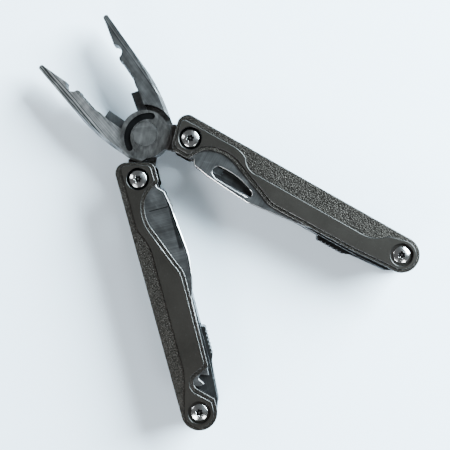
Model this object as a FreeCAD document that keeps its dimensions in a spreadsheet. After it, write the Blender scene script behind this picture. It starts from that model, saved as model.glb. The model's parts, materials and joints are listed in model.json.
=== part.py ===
import FreeCAD, Part
import math
import os
import Sketcher

# A folding multi tool, shown with its pliers open. +Y runs along the jaws, +Z is up.
# The origin lies under the middle of the tool, on the surface that it rests on.
# Each handle is built in a frame of its own: x runs from the plier axle to the tool axle,
# y points at the other handle, and z = 0 is the middle of the handle's thickness.

DIMENSIONS = {
    # plier head
    "head_thickness": 11.0,
    "disc_radius": 8.9,
    "lobe_radius": 10.6,
    "jaw_length": 46.6,
    "nose_root_width": 10.65,
    "nose_tip_width": 1.95,
    "tip_thickness": 6.4,
    "jaw_half_opening": 17.9,
    "jaw_gap": 0.1,
    "head_gap": 0.3,
    "tang_width": 9.6,
    "tang_step": 1.0,
    "hub_radius": 5.9,
    "cutter_thickness": 5.0,
    "cutter_length": 7.4,
    "rivet_radius": 4.5,
    "arc_slot_radius": 8.0,
    "arc_slot_width": 2.3,
    "arc_slot_depth": 0.5,
    # where the handle axles sit, with the jaws closed
    "axle_offset": 7.89,
    "axle_drop": 14.9,
    "handle_splay": 23.2,
    # handles
    "axle_spacing": 88.0,
    "handle_width": 15.1,
    "near_end": 7.0,
    "far_end": 6.6,
    "head_side_gap": 0.15,
    "channel_wall": 1.0,
    "web_rise": 0.65,
    "web_wall": 0.9,
    "frame_inset": 0.3,
    "axle_radius": 2.6,
    "running_gap": 0.05,
    "fixed_gap": 0.02,
    # scales
    "scale_skin": 0.55,
    "band_rise": 0.4,
    "scale_side_wall": 1.4,
    "counterbore_radius": 4.1,
    "left_band_edge": -1.8,
    "right_band_edge": 0.0,
    # outside blades
    "blade_thickness": 2.1,
    "blade_gap": 0.1,
    "blade_end_gap": 9.5,
    "blade_edge_gap": 0.85,
    "blade_stand": 3.05,
    "blade_tip_gap": 1.6,
    "blade_tang_gap": 0.55,
    # screws
    "screw_head_radius": 3.2,
    "screw_head_height": 0.85,
    "screw_shank_radius": 1.5,
    "screw_shank_length": 4.5,
    "star_radius": 1.25,
    "star_depth": 0.55,
    "star_pin_radius": 0.35,
    # lock rockers
    "rocker_width": 8.0,
    "rocker_gap": 0.15,
    "rocker_pin_radius": 0.9,
    "rocker_pin_back": 15.0,
    "rocker_pin_inset": 0.6,
    "rocker_drop": 2.1,
    # inside tools
    "tool_tang_radius": 5.0,
    "tool_gap": 0.1,
    "tool_back_gap": 0.25,
    "bit_back_gap": 0.15,
    "stow_gap": 0.4,
    "large_driver_thickness": 6.0,
    "large_bit_width": 6.2,
    "large_bit_thickness": 3.1,
    "small_driver_thickness": 2.6,
    "small_bit_width": 3.1,
    "small_bit_thickness": 1.5,
    "bit_gap": 0.05,
    "screwdriver_thickness": 2.2,
    "opener_thickness": 2.4,
    "scissor_thickness": 1.7,
    "scissor_rivet_radius": 1.1,
    "spacer_radius": 4.2,
}

LOBES = 6                # lobes of the star recess in a screw head
COARSE_TEETH = 7
FINE_TEETH = 9
SERRATIONS = 11
SAW_TEETH = 27
PAD_RIDGES = 7
NOSE_CHAMFER = 1.1

doc = FreeCAD.newDocument("multi_tool")
sheet = doc.addObject("Spreadsheet::Sheet", "sizes")
for row, (alias, value) in enumerate(DIMENSIONS.items(), start=1):
    sheet.set(f"A{row}", alias)
    sheet.set(f"B{row}", str(value))
    sheet.setAlias(f"B{row}", alias)
doc.recompute()


def size(alias):
    """The value of a cell of the sheet."""
    return float(sheet.get(alias))


half_head = size("head_thickness") / 2
half_width = size("handle_width") / 2
spacing = size("axle_spacing")
web_top = half_width + size("web_rise")
web_inside = web_top - size("web_wall")
blade_low = half_head + size("head_side_gap") + size("channel_wall") + size("blade_gap")
blade_high = blade_low + size("blade_thickness")
axle_top = blade_high + size("blade_gap") / 2
band_top = blade_high + size("blade_gap") + size("scale_skin") + size("band_rise")
blade_length = spacing - size("blade_end_gap")
blade_edge = -half_width + size("scale_side_wall") + size("blade_edge_gap")
blade_spine = half_width + size("blade_stand")
pin_u = spacing - size("rocker_pin_back")
pin_v = web_inside - size("rocker_pin_inset")

# Where things stand with the jaws open.
axle_reach = math.hypot(size("axle_offset"), size("axle_drop"))
axle_turn = math.atan2(size("axle_offset"), size("axle_drop")) + math.radians(size("jaw_half_opening"))
open_offset = axle_reach * math.sin(axle_turn)
open_drop = axle_reach * math.cos(axle_turn)
opening = math.radians(size("jaw_half_opening"))
splay = math.radians(size("handle_splay"))
tip_rise = size("jaw_length") * math.cos(opening)
far_drop = open_drop + spacing * math.cos(splay) + size("far_end")
pivot_y = (far_drop - tip_rise) / 2

# Outer edge of the nose, with the jaws closed: its bend and its tip.
nose_bend = (0.86 * size("nose_root_width"), 0.433 * size("jaw_length"))
nose_tip = (size("nose_tip_width"), size("jaw_length") - 0.2)

# The inside tools lie over the folded nose, so they end where it is still narrow enough.
tool_back = -(web_inside - size("rocker_drop") - size("tool_back_gap"))
bit_side = tool_back + size("bit_back_gap") + size("large_bit_width")
nose_room = size("axle_offset") - bit_side - size("stow_gap")
taper = (nose_bend[0] - nose_room) / (nose_bend[0] - nose_tip[0])
nose_stow = nose_bend[1] + taper * (nose_tip[1] - nose_bend[1])
tool_reach = spacing - size("axle_drop") - nose_stow


# ---------------------------------------------------------------- helpers

def point(x, y, z=0.0):
    return FreeCAD.Vector(x, y, z)


def polar(radius, degrees, centre=(0.0, 0.0)):
    angle = math.radians(degrees)
    return (centre[0] + radius * math.cos(angle), centre[1] + radius * math.sin(angle))


def outline(start, *steps):
    """Closed outline: a step is a corner (x, y), or ((mid x, mid y), (end x, end y)) for an arc."""
    edges = []
    here = start
    for step in steps + (start,):
        if isinstance(step[0], tuple):
            middle, end = step
            edges.append(Part.Arc(point(*here), point(*middle), point(*end)))
        else:
            end = step
            if math.dist(here, end) > 1e-6:
                edges.append(Part.LineSegment(point(*here), point(*end)))
        here = end
    return edges


def circle(x, y, radius):
    return [Part.Circle(point(x, y), point(0, 0, 1), radius)]


def arc_slot(centre, radius, width, first, last):
    """Round-ended slot bent along a circle, between two directions."""
    half = width / 2

    def cap(degrees, side):
        return polar(half, degrees + side * 90, polar(radius, degrees, centre))

    return outline(
        polar(radius + half, first, centre),
        (polar(radius + half, (first + last) / 2, centre), polar(radius + half, last, centre)),
        (cap(last, 1), polar(radius - half, last, centre)),
        (polar(radius - half, (first + last) / 2, centre), polar(radius - half, first, centre)),
        (cap(first, -1), polar(radius + half, first, centre)),
    )


def zigzag(start, end, count, depth):
    """Corners of a row of teeth from start to end, cut to one side by depth."""
    dx, dy = (end[0] - start[0]) / count, (end[1] - start[1]) / count
    step = math.hypot(dx, dy)
    nx, ny = dy / step * depth, -dx / step * depth
    corners = []
    for tooth in range(count):
        x, y = start[0] + tooth * dx, start[1] + tooth * dy
        corners.append((x + 0.35 * dx + nx, y + 0.35 * dy + ny))
        corners.append((x + 0.75 * dx + nx, y + 0.75 * dy + ny))
        corners.append((x + dx, y + dy))
    return corners


class Piece:
    """A PartDesign body made of flat sketches padded and pocketed along z. Side -1 turns it upside down."""

    def __init__(self, name, side=1):
        self.body = doc.addObject("PartDesign::Body", name)
        self.body.Label = name
        self.side = side
        self.count = 0

    def sketch(self, loops, height, role="XY_Plane"):
        self.count += 1
        plane = next(f for f in self.body.Origin.OriginFeatures if f.Role == role)
        sketch = self.body.newObject("Sketcher::SketchObject", f"{self.body.Name}_outline_{self.count}")
        sketch.AttachmentSupport = (plane, [""])
        sketch.MapMode = "FlatFace"
        sketch.setExpression("AttachmentOffset.Base.z", height)
        for loop in loops:
            sketch.addGeometry(loop, False)
        return sketch

    def feature(self, kind, loops, low, high):
        if self.side < 0:
            low, high = f"-({high})", f"-({low})"
        profile = self.sketch(loops, low)
        made = self.body.newObject(f"PartDesign::{kind}", f"{self.body.Name}_{kind.lower()}_{self.count}")
        made.Profile = profile
        made.setExpression("Length", f"({high}) - ({low})")
        made.Reversed = kind == "Pocket"
        profile.Visibility = False
        self.body.Tip = made
        return made

    def pad(self, loops, low, high):
        return self.feature("Pad", loops, low, high)

    def pocket(self, loops, low, high):
        return self.feature("Pocket", loops, low, high)

    def side_pocket(self, loops, width):
        """Cut straight across the piece, drawn as seen along x."""
        profile = self.sketch(loops, "0", "YZ_Plane")
        made = self.body.newObject("PartDesign::Pocket", f"{self.body.Name}_side_pocket")
        made.Profile = profile
        made.Midplane = True
        made.Length = width
        self.body.Tip = made
        return made

    def round(self, kind, x, y, radius, low, high):
        """A round pad or pocket whose radius stays bound to the sheet."""
        made = self.feature(kind, [circle(x, y, 1.0)], low, high)
        sketch = made.Profile[0]
        sketch.addConstraint(Sketcher.Constraint("Radius", 0, 1.0))
        sketch.setExpression("Constraints[0]", radius)
        return made

    def bore(self, x, y, radius, low, high):
        return self.round("Pocket", x, y, radius, low, high)

    def post(self, x, y, radius, low, high):
        return self.round("Pad", x, y, radius, low, high)

    def dress(self, kind, wanted, amount):
        """Fillet or chamfer the edges for which wanted(edge) is true."""
        doc.recompute()
        base = self.body.Tip
        names = [f"Edge{n}" for n, e in enumerate(base.Shape.Edges, start=1) if wanted(e)]
        made = self.body.newObject(f"PartDesign::{kind}", f"{self.body.Name}_{kind.lower()}")
        made.Base = (base, names)
        if kind == "Fillet":
            made.Radius = amount
        else:
            made.Size = amount
        self.body.Tip = made
        return made


def turned(degrees, axis=(0, 0, 1)):
    return FreeCAD.Rotation(FreeCAD.Vector(*axis), degrees)


def frame_of(x, y, rotation):
    """Placement in the part's frame, from a place relative to the plier pivot."""
    return FreeCAD.Placement(FreeCAD.Vector(x, pivot_y + y, band_top), rotation)


exported = []


def export(feature, placement=None):
    if placement is not None:
        feature.Placement = placement
    exported.append(feature)
    return feature


splay_degrees = size("handle_splay")
half_open = size("jaw_half_opening")
LEFT = frame_of(-open_offset, -open_drop, turned(-90 - splay_degrees))
RIGHT = frame_of(open_offset, -open_drop, turned(-90 + splay_degrees) * turned(180, (1, 0, 0)))
BACK_JAW = frame_of(0, 0, turned(-half_open))
FRONT_JAW = frame_of(0, 0, turned(half_open) * turned(180, (0, 1, 0)))
FLIP = FreeCAD.Placement(FreeCAD.Vector(0, 0, 0), turned(180, (1, 0, 0)))
TOOL_TURN = FreeCAD.Placement(FreeCAD.Vector(spacing, 0, 0), turned(180))

HEAD_LOW = "-sizes.head_thickness / 2"
HEAD_HIGH = "sizes.head_thickness / 2"
HALF_LINE = "-sizes.jaw_gap / 2"
ROOM = f"{HEAD_HIGH} + sizes.head_side_gap"
CHANNEL = f"{ROOM} + sizes.channel_wall"
BLADE_LOW = f"{CHANNEL} + sizes.blade_gap"
BLADE_HIGH = f"{BLADE_LOW} + sizes.blade_thickness"
AXLE_TOP = f"{BLADE_HIGH} + sizes.blade_gap / 2"
POCKET = f"{BLADE_HIGH} + sizes.blade_gap"
RIM = f"{POCKET} + sizes.scale_skin"
BAND = f"{RIM} + sizes.band_rise"
HALF_TANG = f"({HEAD_HIGH} - sizes.tang_step)"
LOOSE_AXLE = "sizes.axle_radius + sizes.running_gap"
TIGHT_AXLE = "sizes.axle_radius + sizes.fixed_gap"


# ---------------------------------------------------------------- plier head

def jaw(name, placement):
    """One jaw, drawn closed with its nose right of the middle line and its disc half below."""
    piece = Piece(name)
    tip = size("jaw_length")
    root = size("nose_root_width")
    heel = (root, 2.2)
    notch_low, notch_mid, notch_high = (0.62, 0.645 * tip), (2.4, 0.705 * tip), (0.4, 0.752 * tip)
    coarse_low, coarse_high = (2.9, 0.434 * tip), (0.9, 0.605 * tip)
    fine_low, fine_high = (0.3, 0.765 * tip), (0.12, 0.965 * tip)
    nose = outline(
        (3.3, 7.0),
        (3.3, 0.3 * tip),
        (2.75, 0.385 * tip),
        coarse_low,
        *zigzag(coarse_low, coarse_high, COARSE_TEETH, 0.45),
        (0.45, 0.62 * tip),
        notch_low,
        (notch_mid, notch_high),
        fine_low,
        *zigzag(fine_low, fine_high, FINE_TEETH, 0.22),
        (0.1, tip - 0.6),
        ((0.85, tip), nose_tip),
        nose_bend,
        ((0.98 * root, 0.25 * tip), heel),
        (6.5, heel[1]),
    )
    piece.pad([nose], HEAD_LOW, HEAD_HIGH)

    def outer(edge):
        level = edge.BoundBox.ZLength < 1e-4 and abs(abs(edge.BoundBox.ZMin) - half_head) < 1e-4
        ends = [(v.X, v.Y) for v in edge.Vertexes]
        corners = (nose_tip, nose_bend, heel)
        return level and all(min(math.dist(end, c) for c in corners) < 1e-4 for end in ends)

    piece.dress("Chamfer", outer, NOSE_CHAMFER)
    # the nose thins towards its tip
    thin_from, beyond, half_tip = 0.36 * tip, tip + 2, size("tip_thickness") / 2
    wedges = [
        outline((thin_from, side * half_head), (beyond, side * (half_head + 1)), (beyond, side * half_tip))
        for side in (1, -1)
    ]
    piece.side_pocket(wedges, 6 * root)
    # the other jaw's disc and lobe turn inside this circle
    lobe = size("lobe_radius")
    clear = lobe + size("head_gap")
    piece.pocket([circle(0, 0, clear)], HALF_LINE, f"{HEAD_HIGH} + 1")
    piece.post(0, 0, "sizes.disc_radius", HEAD_LOW, HALF_LINE)
    lobe_arc = (polar(lobe, -8), polar(lobe, -24))
    lobe_side = outline((root - 0.1, 3.0), lobe_arc, polar(8.2, -46), (0, 0), (3.0, 6.0))
    piece.pad([lobe_side], HEAD_LOW, HALF_LINE)
    # wire cutter tab, in the middle of the thickness
    cutter_low, cutter_high = size("disc_radius") - 0.7, size("disc_radius") + size("cutter_length")
    cutter_root, cutter_edge = 3.6, 0.12
    tab = outline(
        (cutter_root, cutter_low),
        (0.7, cutter_low),
        (cutter_edge, cutter_low + 1.2),
        (cutter_edge, cutter_high),
        (cutter_root, cutter_high),
    )
    piece.pad([tab], "-sizes.cutter_thickness / 2", "sizes.cutter_thickness / 2")
    piece.bore(0, 0, "sizes.disc_radius + sizes.head_gap", HALF_LINE, f"{HEAD_HIGH} + 1")
    # tang: its own half runs in from the disc, the rest starts outside the other disc
    axle = (-size("axle_offset"), -size("axle_drop"))
    ux, uy = axle[0] / axle_reach, axle[1] / axle_reach
    half_tang = size("tang_width") / 2
    start = math.sqrt(clear**2 - half_tang**2)

    def along(distance, side):
        return (distance * ux - side * uy, distance * uy + side * ux)

    inside = 4
    bar = outline(
        along(inside, -half_tang),
        along(axle_reach, -half_tang),
        along(axle_reach, half_tang),
        along(inside, half_tang),
    )
    piece.pad([bar], f"-{HALF_TANG}", HALF_LINE)
    outer_bar = outline(
        along(start, half_tang),
        (along(clear, 0), along(start, -half_tang)),
        along(axle_reach, -half_tang),
        along(axle_reach, half_tang),
    )
    piece.pad([outer_bar], HALF_LINE, HALF_TANG)
    hub = min(size("hub_radius"), axle_reach - clear)
    piece.pad([circle(*axle, hub)], HEAD_LOW, HEAD_HIGH)
    # bores for the handle axle and the pivot rivet
    piece.bore(*axle, LOOSE_AXLE, f"{HEAD_LOW} - 1", f"{HEAD_HIGH} + 1")
    piece.bore(0, 0, "sizes.rivet_radius + sizes.running_gap", f"{HEAD_LOW} - 1", f"{HEAD_HIGH} + 1")
    # arc-shaped recess on the outside of the disc
    recess = arc_slot((0.3, -1.9), size("arc_slot_radius"), size("arc_slot_width"), 27.9, 153.4)
    piece.pocket([recess], f"{HEAD_LOW} - 1", f"{HEAD_LOW} + sizes.arc_slot_depth")
    return export(piece.body, placement)


def pin(name, radius, low, high, placement, x=0.0, y=0.0):
    """A plain round pin along z."""
    piece = Piece(name)
    piece.post(x, y, radius, low, high)
    return export(piece.body, placement)


def handle_outline(window):
    """Outline of a scale: knuckle, outer edge, round far end, and the cut-out over the blade."""
    near, far, half = size("near_end"), size("far_end"), half_width
    inner = half + 0.1
    steps = [
        ((-near + 0.95, -half + 1.35), (-near + 3.4, -half)),
        (spacing, -far),
        ((spacing + far, 0), (spacing, far)),
        (spacing - 3.4, far),
    ]
    if window:
        steps += [
            (spacing - 8.0, 2.0),
            ((spacing - 10.5, 0.7), (spacing - 12.8, 2.0)),
            (spacing - 14.4, 5.4),
            ((spacing - 15.0, 6.9), (spacing - 16.3, inner - 0.25)),
        ]
    else:
        steps += [(spacing - 16.3, inner - 0.25)]
    steps += [
        (39.5, inner),
        ((36.5, inner - 0.35), (33.5, inner - 1.6)),
        (20.4, 0.95),
        ((14.2, -0.7), (8.8, 0.25)),
        ((5.6, 2.7), (3.7, 5.9)),
        ((3.0, 6.8), (1.8, half - 0.5)),
        (-2.4, half - 0.5),
        ((-4.0, 6.3), (-near + 2.0, 4.6)),
    ]
    return outline((-near, -3.2), *steps)


def band_outline(edge_height, window):
    """The raised smooth band: it follows the edges inside the rim and sweeps past both screws."""
    near, half = size("near_end"), half_width
    floor = -half + 2.5
    far = size("far_end") - 1.25
    dent = [
        (spacing - 2.6, 5.3),
        (spacing - 7.8, -0.2),
        ((spacing - 10.5, -0.9), (spacing - 13.8, 0.6)),
        (spacing - 15.8, 5.2),
    ]
    return outline(
        (-near + 1.3, -3.0),
        ((-near + 1.6, floor + 0.5), (-near + 2.6, floor)),
        (15.5, floor),
        ((18.8, floor + 0.5), (21.2, floor + 1.6)),
        ((24.2, edge_height - 0.55), (28.5, edge_height)),
        (spacing - 17.0, edge_height + 0.3),
        ((spacing - 12.0, edge_height - 0.5), (spacing - 7.5, -3.6)),
        polar(far, -105, (spacing, 0)),
        (polar(far, 0, (spacing, 0)), polar(far, 80, (spacing, 0))),
        *(dent if window else []),
        (spacing - 17.0, half - 1.3),
        (39.9, half - 1.15),
        ((37.0, half - 1.5), (34.0, half - 2.7)),
        (20.9, -0.4),
        ((14.2, -2.0), (7.9, -0.8)),
        ((4.6, 1.7), (2.7, 5.0)),
        (2.0, 5.6),
        (-2.1, 5.6),
        ((-3.2, 5.2), (-near + 2.9, 4.1)),
    )


def scale(name, side, band_edge, window):
    """A cover: a pocket for the blade below, a rim, and the raised band on top."""
    piece = Piece(name, side)
    piece.pad([handle_outline(window)], CHANNEL, RIM)
    floor = -half_width + size("scale_side_wall")
    sweep = blade_length + size("blade_tip_gap")
    turn = math.degrees(math.asin(floor / sweep))
    pocket = outline(
        (-14.0, floor),
        polar(sweep, turn),
        (polar(sweep, turn / 2 + 5), polar(sweep, 10)),
        (-14.0, 14.0),
    )
    piece.pad([band_outline(band_edge, window)], f"{RIM} - 0.2", BAND)
    piece.pocket([pocket], f"{CHANNEL} - 1", POCKET)
    piece.bore(0, 0, "sizes.counterbore_radius", f"{CHANNEL} - 1", f"{BAND} + 1")
    piece.bore(spacing, 0, "sizes.counterbore_radius", AXLE_TOP, f"{BAND} + 1")
    piece.bore(spacing, 0, TIGHT_AXLE, f"{CHANNEL} - 1", f"{BAND} + 1")
    return piece


def channel(name):
    """The folded sheet that the plier head nests in, open at y < 0 and at both ends."""
    piece = Piece(name)
    inset = size("frame_inset")
    near, far, half = size("near_end") - inset, size("far_end") - inset, half_width - inset
    wall = outline(
        (-near, -3.2),
        ((-near + 0.95, -half + 1.35), (-near + 3.4, -half)),
        (spacing, -far),
        ((spacing + far, 0), (spacing + 1.0, far)),
        (spacing - 2.0, web_top - 0.6),
        (spacing - 15.0, web_top),
        (6.4, web_top),
        (4.6, half - 0.8),
        (-2.4, half - 0.8),
        ((-4.0, 6.0), (-near + 2.0, 4.4)),
    )
    piece.pad([wall], f"-({CHANNEL})", CHANNEL)
    beyond = 20
    reach = spacing + beyond
    room = outline((-beyond, -beyond), (reach, -beyond), (reach, web_inside), (-beyond, web_inside))
    piece.pocket([room], f"-({ROOM})", ROOM)
    # window in the web for the lock rocker, open towards the far end
    window_start = spacing - 31.0
    window = outline(
        (window_start, web_inside - 0.6),
        (spacing + beyond, web_inside - 0.6),
        (spacing + beyond, web_top + 3),
        (window_start, web_top + 3),
    )
    half_window = "sizes.rocker_width / 2 + sizes.rocker_gap"
    piece.pocket([window], f"-({half_window})", half_window)
    # slits that free the liner-lock leaf in each side wall
    slit_start, leaf_tip, leaf_root = 9.5, 16.4, 50.0
    leaf_low, leaf_high, slit = 3.2, 6.6, 0.6
    slits = outline(
        (slit_start, leaf_low - slit),
        (leaf_root, leaf_low - slit),
        (leaf_root, leaf_low),
        (leaf_tip, leaf_low),
        (leaf_tip, leaf_high),
        (slit_start, leaf_high),
    )
    through = (f"-({CHANNEL}) - 1", f"{CHANNEL} + 1")
    piece.pocket([slits], *through)
    piece.bore(0, 0, TIGHT_AXLE, *through)
    piece.bore(spacing, 0, TIGHT_AXLE, *through)
    piece.bore(pin_u, pin_v, "sizes.rocker_pin_radius + sizes.fixed_gap", *through)
    return piece


def axle(name, x, placement):
    """Round axle with a threaded hole in each end for its screws."""
    piece = Piece(name)
    high, depth = AXLE_TOP, "sizes.screw_shank_length"
    piece.post(x, 0, "sizes.axle_radius", f"-({high})", high)
    piece.bore(x, 0, "sizes.screw_shank_radius", f"({high}) - {depth}", f"{high} + 1")
    piece.bore(x, 0, "sizes.screw_shank_radius", f"-({high}) - 1", f"-({high}) + {depth}")
    return export(piece.body, placement)


def star(radius):
    """Outline of a star recess with rounded points."""
    steps = []
    for lobe in range(LOBES):
        middle = lobe * 360 / LOBES
        steps.append((polar(radius, middle), polar(radius * 0.82, middle + 14)))
        steps.append((polar(radius * 0.68, middle + 30), polar(radius * 0.82, middle + 46)))
    return outline(polar(radius * 0.82, -14), *steps)


def screw_master():
    """One domed screw with its head up, standing on z = 0."""
    piece = Piece("handle_screw")
    height = size("screw_head_height")

    def rim(edge):
        return edge.BoundBox.ZLength < 1e-4 and abs(edge.BoundBox.ZMin - height) < 1e-4

    piece.post(0, 0, "sizes.screw_head_radius", "0", "sizes.screw_head_height")
    piece.dress("Fillet", rim, 0.6 * height)
    piece.post(0, 0, "sizes.screw_shank_radius", "-sizes.screw_shank_length + 0.1", "0")
    recess = [star(size("star_radius")), circle(0, 0, size("star_pin_radius"))]
    piece.pocket(recess, "sizes.screw_head_height - sizes.star_depth", "sizes.screw_head_height + 0.5")
    return piece.body


def screw_group(name, master, placement):
    """The four screws of a handle, as separate solids."""
    doc.recompute()
    up = [FreeCAD.Placement(FreeCAD.Vector(x, 0, axle_top), FreeCAD.Rotation()) for x in (0, spacing)]
    copies = []
    for place in up + [FLIP * p for p in up]:
        copies.append(master.Shape.transformed(place.toMatrix()))
    group = doc.addObject("Part::Feature", name)
    group.Label = name
    group.Shape = Part.makeCompound(copies)
    return export(group, placement)


# ---------------------------------------------------------------- outside blades

def blade(name, side, loops):
    """A blade lying in its scale, with the tang round the plier axle."""
    piece = Piece(name, side)
    piece.pad(loops, BLADE_LOW, BLADE_HIGH)
    radius = "sizes.handle_width / 2 - sizes.scale_side_wall - sizes.blade_tang_gap"
    piece.post(0, 0, radius, BLADE_LOW, BLADE_HIGH)
    piece.bore(0, 0, LOOSE_AXLE, f"{BLADE_LOW} - 1", f"{BLADE_HIGH} + 1")
    return piece


def tang(spine_start):
    """Corners of a blade's tang, back from its spine to the start of its edge side."""
    return [spine_start, (4.7, 6.0), (0.0, 5.4)]


def knife(side):
    """Clip point, with a teardrop slot for the thumb."""
    tip, edge, spine = blade_length, blade_edge, blade_spine
    body = outline(
        (2.0, edge + 0.7),
        (10.0, edge + 1.7),
        ((11.8, edge + 1.0), (13.5, edge + 0.3)),
        (0.62 * tip, edge),
        ((0.86 * tip, edge + 1.3), (tip, 1.6)),
        ((0.8 * tip, 5.9), (0.61 * tip, spine - 1.95)),
        (29.5, spine),
        ((20.8, spine - 0.62), (12.0, spine - 1.45)),
        *tang((5.9, 7.9)),
    )
    piece = blade("knife_blade", side, [body])
    thumb = outline(
        (13.6, 7.5),
        ((12.9, 5.3), (15.0, 3.9)),
        ((21.5, 4.1), (28.4, 6.2)),
        ((29.6, 7.6), (28.4, 8.8)),
        ((21.0, 8.5), (15.0, 8.2)),
    )
    piece.pocket([thumb], f"{BLADE_LOW} - 1", f"{BLADE_HIGH} + 1")
    return piece


def serrated(side):
    """Sheepsfoot blade with scalloped edge and a cutting hook behind its tip."""
    tip, edge, spine = blade_length, blade_edge, blade_spine + 0.3
    start, end = 14.0, 0.74 * tip
    pitch = (end - start) / SERRATIONS
    scallops = []
    for tooth in range(SERRATIONS):
        x = start + tooth * pitch
        scallops.append(((x + pitch / 2, edge + 1.1), (x + pitch, edge + 0.3)))
    body = outline(
        (2.0, edge + 0.7),
        (10.0, edge + 1.7),
        ((11.8, edge + 1.0), (start, edge + 0.3)),
        *scallops,
        (0.9 * tip, edge + 0.7),
        ((0.975 * tip, -2.0), (tip + 0.3, 2.2)),
        (tip, 4.4),
        (tip - 1.6, 3.4),
        ((tip - 3.2, 3.2), (tip - 3.4, 4.9)),
        (tip - 2.6, 6.8),
        (0.88 * tip, 7.3),
        (0.6 * tip, 7.9),
        ((38.5, spine - 0.7), (30.0, spine)),
        ((21.0, spine - 0.88), (12.0, spine - 1.85)),
        *tang((6.8, 8.1)),
    )
    return blade("serrated_blade", side, [body])


def saw(side):
    tip, edge = blade_length - 2.5, blade_edge
    body = outline(
        (2.0, edge + 0.7),
        (12.0, edge + 1.1),
        *zigzag((14.0, edge + 0.1), (tip - 3, edge + 0.9), SAW_TEETH, -1.1),
        ((tip - 0.4, -3.2), (tip, 0.0)),
        (tip - 1.5, 4.6),
        (0.6 * tip, 8.2),
        (12.0, 8.9),
        *tang((6.5, 8.0)),
    )
    return blade("saw_blade", side, [body])


def file_tool(side):
    tip, edge = blade_length - 1.5, blade_edge + 0.5
    body = outline(
        (2.0, edge + 0.2),
        (12.0, edge),
        (tip - 1, edge),
        ((tip - 0.2, edge + 0.4), (tip, edge + 1.2)),
        (tip, 3.4),
        ((tip - 0.6, 4.9), (tip - 2, 5.6)),
        (0.6 * tip, 8.0),
        (12.0, 8.9),
        *tang((6.5, 8.0)),
    )
    return blade("file_blade", side, [body])


# ---------------------------------------------------------------- lock rockers

def rocker(name, placement):
    """Spring-loaded bar in the web, with a ridged pad and a hook over the tool tangs."""
    piece = Piece(name)
    pad_low, pad_high = spacing - 29.6, spacing - 17.4
    pad_top, ridge_top = web_inside + 2.2, web_inside + 2.65
    hook = size("tool_tang_radius") + 0.3
    centre = (spacing, 0)
    ridges = []
    pitch = (pad_high - pad_low - 1.0) / PAD_RIDGES
    for ridge in range(PAD_RIDGES):
        x = pad_high - 0.5 - ridge * pitch
        ridges += [(x, pad_top), (x - 0.5 * pitch, ridge_top), (x - 0.9 * pitch, ridge_top)]
    body = outline(
        (pad_low - 0.4, web_inside - 0.2),
        (pin_u - 3.0, web_inside - 0.4),
        ((pin_u - 0.2, web_inside - size("rocker_drop")), (pin_u + 3.0, web_inside - 0.7)),
        (spacing - 4.3, web_inside - 0.9),
        polar(hook, 120, centre),
        (polar(hook, 114, centre), polar(hook, 108, centre)),
        (spacing - 1.4, web_inside - 0.3),
        (spacing - 1.9, web_inside + 0.5),
        (pin_u + 3.0, web_inside + 1.2),
        (pad_high + 1.2, web_inside + 1.6),
        (pad_high, pad_top),
        *ridges,
        (pad_low, web_inside + 2.0),
    )
    half = "sizes.rocker_width / 2"
    piece.pad([body], f"-{half}", half)
    piece.bore(pin_u, pin_v, "sizes.rocker_pin_radius + sizes.running_gap", f"-{half} - 1", f"{half} + 1")
    return export(piece.body, placement)


def rocker_spring(name, placement):
    """Leaf that lifts the rocker's pad, held at the near end of the window."""
    piece = Piece(name)
    start, top, thick = spacing - 36.0, web_inside - 0.02, 0.32
    leaf = outline(
        (start, top),
        (start + 4.0, top),
        (start + 5.4, top - 1.28),
        (start + 9.0, top - 1.3),
        (start + 13.0, top - 1.12),
        (start + 13.0, top - 1.12 - thick),
        (start + 9.0, top - 1.3 - thick),
        (start + 5.2, top - 1.28 - thick),
        (start + 3.8, top - thick),
        (start, top - thick),
    )
    piece.pad([leaf], "-2.2", "2.2")
    return export(piece.body, placement)


# ---------------------------------------------------------------- inside tools

def tool(name, corners, low, high):
    """A tool on the tool axle: x runs along it when stowed, y points at the open side."""
    piece = Piece(name)
    tang_radius = size("tool_tang_radius")
    body = outline((4.0, -3.6), (8.0, tool_back), *corners, (3.0, 4.0), (0.0, tang_radius))
    piece.pad([body], low, high)
    piece.post(0, 0, "sizes.tool_tang_radius", low, high)
    piece.bore(0, 0, LOOSE_AXLE, f"({low}) - 1", f"({high}) + 1")
    return piece


def middle_band(low, high, half):
    """Heights of a layer in the middle of a tool's thickness."""
    middle = f"(({low}) + ({high})) / 2"
    return f"{middle} - ({half})", f"{middle} + ({half})"


def socket(piece, mouth, depth, centre, bit, low, high):
    """Flat socket for a double-ended bit, and the bit's own heights."""
    half = size(f"{bit}_width") / 2 + size("bit_gap")
    bottom, beyond = mouth - depth, mouth + 2
    low_side, high_side = centre - half, centre + half
    cut = outline((bottom, low_side), (beyond, low_side), (beyond, high_side), (bottom, high_side))
    piece.pocket([cut], *middle_band(low, high, f"sizes.{bit}_thickness / 2 + sizes.bit_gap"))


def flat_bit(bit, start, end, centre, low, high):
    """Double-ended flat bit lying in a driver's socket, with a tapered tip."""
    piece = Piece(bit)
    half, taper_length = size(f"{bit}_width") / 2, 3.0
    body = outline(
        (start, centre - half),
        (end - taper_length, centre - half),
        (end, centre - half / 3),
        (end, centre + half / 3),
        (end - taper_length, centre + half),
        (start, centre + half),
    )
    piece.pad([body], *middle_band(low, high, f"sizes.{bit}_thickness / 2"))
    return piece


SOCKET_DEPTH = {"large_bit": 12.2, "small_bit": 10.2}
BIT_STAND = 3.8
large_bit_side = bit_side - size("large_bit_width") / 2
small_bit_side = large_bit_side - 0.7


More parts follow.
